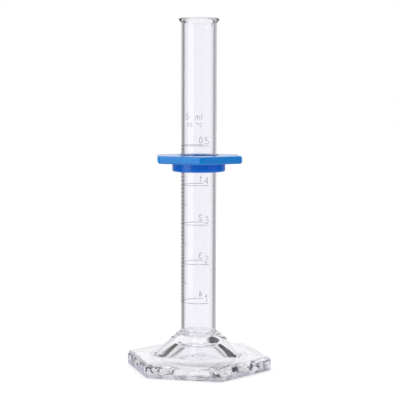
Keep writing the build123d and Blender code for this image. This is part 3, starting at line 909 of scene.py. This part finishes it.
def mottle_group():
    """Shader group: cloudy spots on Object coordinates, as a mask between two noise levels."""
    group = bpy.data.node_groups.new("mottle", "ShaderNodeTree")
    for name in ("Scale", "Low", "High"):
        group.interface.new_socket(name, in_out="INPUT", socket_type="NodeSocketFloat")
    group.interface.new_socket("Mask", in_out="OUTPUT", socket_type="NodeSocketFloat")
    nodes, link = group.nodes, group.links.new
    given, result = nodes.new("NodeGroupInput"), nodes.new("NodeGroupOutput")
    noise_node = nodes.new("ShaderNodeTexNoise")
    noise_node.inputs["Detail"].default_value = 0.4
    link(nodes.new("ShaderNodeTexCoord").outputs["Object"], noise_node.inputs["Vector"])
    link(given.outputs["Scale"], noise_node.inputs["Scale"])
    spread = nodes.new("ShaderNodeMapRange")
    spread.interpolation_type = "SMOOTHSTEP"
    link(noise_node.outputs["Fac"], spread.inputs["Value"])
    link(given.outputs["Low"], spread.inputs["From Min"])
    link(given.outputs["High"], spread.inputs["From Max"])
    link(spread.outputs[0], result.inputs[0])
    return group


def seen_from_photo(tree, vector, studio):
    """A direction's turn to the right of the photograph's line of sight, and its height."""
    nodes, link = tree.nodes, tree.links.new
    turned = nodes.new("ShaderNodeMapping")
    turned.vector_type = "POINT"
    turned.inputs["Rotation"].default_value = (0, 0, -studio.azimuth)
    link(vector, turned.inputs["Vector"])
    parts = nodes.new("ShaderNodeSeparateXYZ")
    link(turned.outputs[0], parts.inputs[0])
    x, y, z = parts.outputs
    return Sums(tree).maths("ARCTAN2", x, y), z


def dark_flags(sums, side, z):
    """Two upright dark panels beside the white backdrop, which draw the edges of clear glass."""
    soft = radians(PANEL_SOFT)
    shades = []
    for turn, panel in ((sums.maths("MULTIPLY", side, -1.0), LEFT_PANEL), (side, RIGHT_PANEL)):
        rises, starts, ends, lights = panel
        start = sums.by_height(z, rises, [radians(edge) for edge in starts])
        end = sums.by_height(z, rises, [radians(edge) for edge in ends])
        inner = sums.step(sums.maths("SUBTRACT", turn, start), -soft, soft)
        outer = sums.step(sums.maths("SUBTRACT", turn, end), -soft, soft, 1.0, 0.0)
        light = sums.by_height(z, rises, lights)
        shades.append(sums.choose(sums.maths("MULTIPLY", inner, outer), 1.0, light))
    return sums.maths("MULTIPLY", *shades)


def gloss_surround(sums, side, flags):
    """What polish reflects: white behind, a soft box on the left, dark round the camera."""
    low, high = (radians(edge) for edge in BACKDROP_EDGE)
    behind = sums.step(sums.maths("ABSOLUTE", side), low, high, 1.0, 0.0)
    level = sums.maths("MAXIMUM", sums.maths("MULTIPLY", flags, behind), CAMERA_SIDE_LIGHT)
    for start, end, soft, light in (SOFT_BOX, SIDE_CARD):
        shape = sums.window(side, radians(start), radians(end), radians(soft))
        level = sums.maths("MAXIMUM", level, sums.maths("MULTIPLY", shape, light))
    return level


def add_world(studio):
    """White surround, with panels, ceiling and soft box for what glass and polish show."""
    world = bpy.data.worlds.new("studio")
    bpy.context.scene.world = world
    world.use_nodes = True
    tree = world.node_tree
    nodes, link = tree.nodes, tree.links.new
    sums = Sums(tree)
    backdrop = nodes["Background"]
    backdrop.inputs["Color"].default_value = (1, 1, 1, 1)
    place = nodes.new("ShaderNodeTexCoord")
    side, z = seen_from_photo(tree, place.outputs["Generated"], studio)
    dims, lamps = ([sin(radians(edge)) for edge in edges]
                   for edges in (CEILING_DIMS, CEILING_LAMPS))
    ceiling = sums.maths("ADD", sums.step(z, *dims, 1.0, CEILING_LIGHT),
                         sums.step(z, *lamps, 0.0, CEILING_LAMPS_LIGHT))
    ahead = sums.window(side, radians(-AHEAD), radians(AHEAD), radians(AHEAD_SOFT))
    ceiling = sums.choose(ahead, ceiling, sums.step(z, *dims, 1.0, CEILING_LIGHT_AHEAD))
    flags = dark_flags(sums, side, z)
    through = sums.maths("MULTIPLY", flags, ceiling)
    gloss = gloss_surround(sums, side, flags)
    rays = nodes.new("ShaderNodeLightPath").outputs
    level = sums.choose(rays["Is Glossy Ray"], ROOM_LIGHT, gloss)
    level = sums.choose(rays["Is Transmission Ray"], level, through)
    level = sums.choose(rays["Is Camera Ray"], level, 1.0)
    link(level, backdrop.inputs["Strength"])


class CYLINDER_OT_stage(bpy.types.Operator):
    """Make the camera, the floor, the surround and the lamp"""
    bl_idname = "cylinder.stage"
    bl_label = "Stage"

    def execute(self, context):
        studio = context.scene.cylinder_studio
        add_camera(studio)
        add_floor(studio)
        add_world(studio)
        self.add_lamp(*KEY_LAMP)
        context.scene.view_settings.view_transform = "Standard"
        for kind in ("max_bounces", "transmission_bounces", "glossy_bounces"):
            setattr(context.scene.cycles, kind, BOUNCES)
        return {"FINISHED"}

    @staticmethod
    def add_lamp(place, size, power):
        """A soft square lamp aimed at the middle of the tube."""
        lamp = bpy.data.lights.new("key", "AREA")
        lamp.size = size
        lamp.energy = power
        holder = bpy.data.objects.new("key", lamp)
        bpy.context.scene.collection.objects.link(holder)
        aim = Vector((0, 0, TUBE_TOP / 2)) - Vector(place)
        holder.location = place
        holder.rotation_euler = aim.to_track_quat("-Z", "Y").to_euler()


class CYLINDER_PT_panel(bpy.types.Panel):
    """Lists the cylinder's operators and their sizes"""
    bl_idname = "CYLINDER_PT_panel"
    bl_label = "Graduated cylinder"
    bl_space_type = "VIEW_3D"
    bl_region_type = "UI"
    bl_category = "Cylinder"

    def draw(self, context):
        for operator, group in STEPS:
            self.layout.operator(operator.bl_idname)
            settings = getattr(context.scene, group)
            for name in settings.bl_rna.properties.keys():
                if name not in ("rna_type", "name"):
                    self.layout.prop(settings, name)


SETTINGS = {
    "cylinder_glass": GlassSizes,
    "cylinder_guard": GuardSizes,
    "cylinder_scale": ScaleSizes,
    "cylinder_studio": StudioSettings,
}
STEPS = (
    (CYLINDER_OT_stage, "cylinder_studio"),
    (CYLINDER_OT_glass, "cylinder_glass"),
    (CYLINDER_OT_scale, "cylinder_scale"),
    (CYLINDER_OT_guard, "cylinder_guard"),
)


def register():
    for name, group in SETTINGS.items():
        bpy.utils.register_class(group)
        setattr(bpy.types.Scene, name, PointerProperty(type=group))
    for operator, _ in STEPS:
        bpy.utils.register_class(operator)
    bpy.utils.register_class(CYLINDER_PT_panel)


def unregister():
    bpy.utils.unregister_class(CYLINDER_PT_panel)
    for operator, _ in STEPS:
        bpy.utils.unregister_class(operator)
    for name, group in SETTINGS.items():
        delattr(bpy.types.Scene, name)
        bpy.utils.unregister_class(group)


def main():
    register()
    for operator, _ in STEPS:
        family, action = operator.bl_idname.split(".")
        getattr(getattr(bpy.ops, family), action)()


if __name__ == "__main__":
    main()
